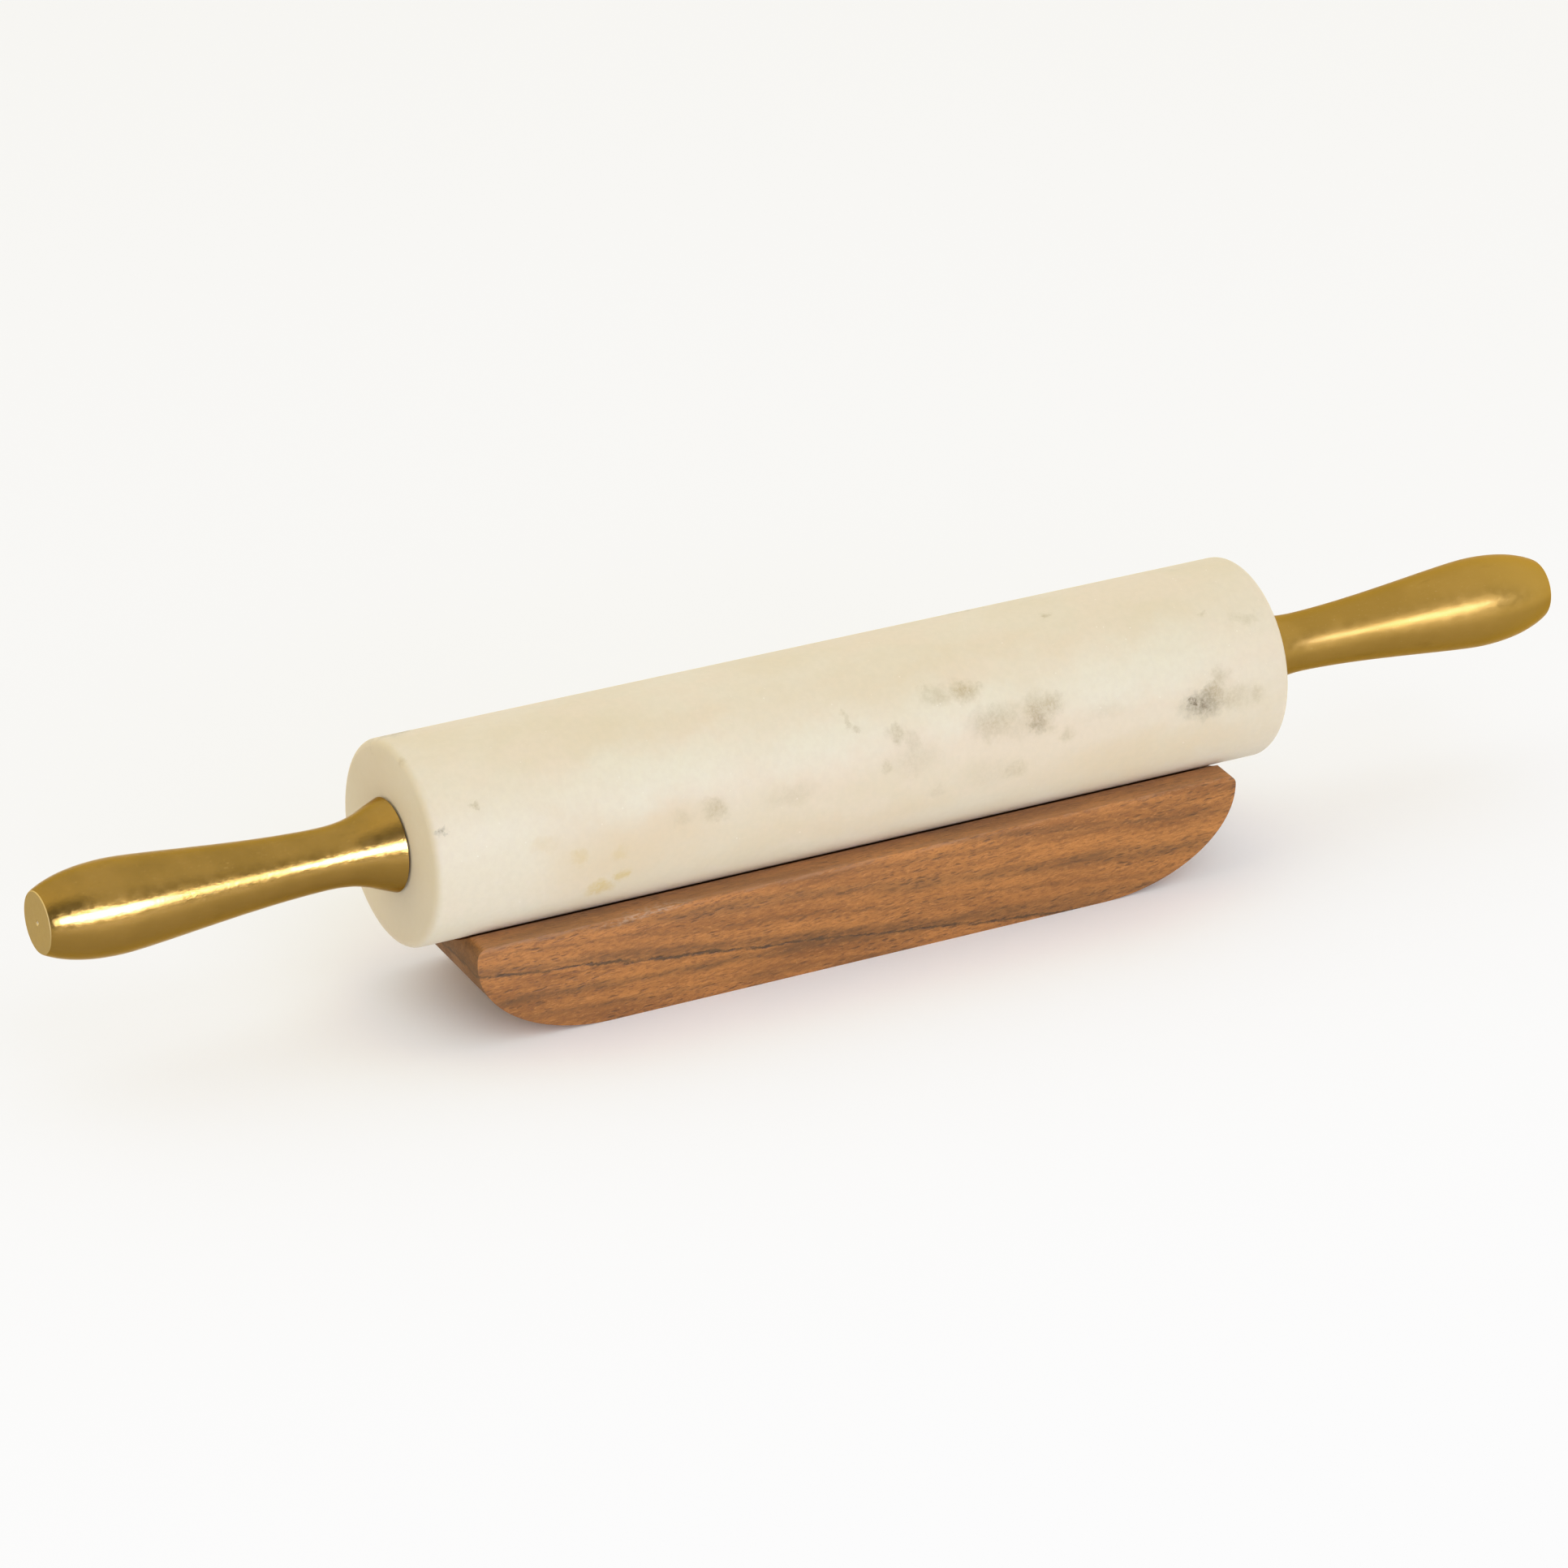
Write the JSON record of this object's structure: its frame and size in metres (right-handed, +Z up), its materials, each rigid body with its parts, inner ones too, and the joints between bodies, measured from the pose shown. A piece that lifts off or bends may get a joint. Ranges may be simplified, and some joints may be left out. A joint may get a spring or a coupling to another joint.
{
  "type": "marble rolling pin",
  "caption": "Marble roller turning on a steel rod between two brass-finish handles, resting in a grooved wooden cradle with rounded ends.",
  "frame": {"origin": "middle of the cradle's flat underside, straight below the middle of the roller", "axes": "+X along the pin towards the right handle, +Z up"},
  "size_m": [0.4488, 0.0544, 0.0788],
  "materials": {
    "wood": "oiled, open grain with darker streaks",
    "marble": "honed cream white with faint grey clouds",
    "nylon": "plain",
    "steel": "turned",
    "brass_finish": "satin gold"
  },
  "bodies": {
    "cradle": {"cradle": "wood"},
    "spindle": {"axle": "steel", "left_washer": "steel", "right_washer": "steel", "left_handle": "brass_finish", "right_handle": "brass_finish"},
    "roller": {"roller": "marble", "left_bush": "nylon", "right_bush": "nylon"}
  },
  "joints": [
    {"name": "pin_lift", "type": "slide", "parent": "cradle", "child": "spindle", "axis": [0, 0, 1], "range_m": [0, 0.1]},
    {"name": "roller_spin", "type": "hinge", "parent": "spindle", "child": "roller", "pos_m": [0, 0, 0.05155], "axis": [1, 0, 0], "continuous": true}
  ]
}
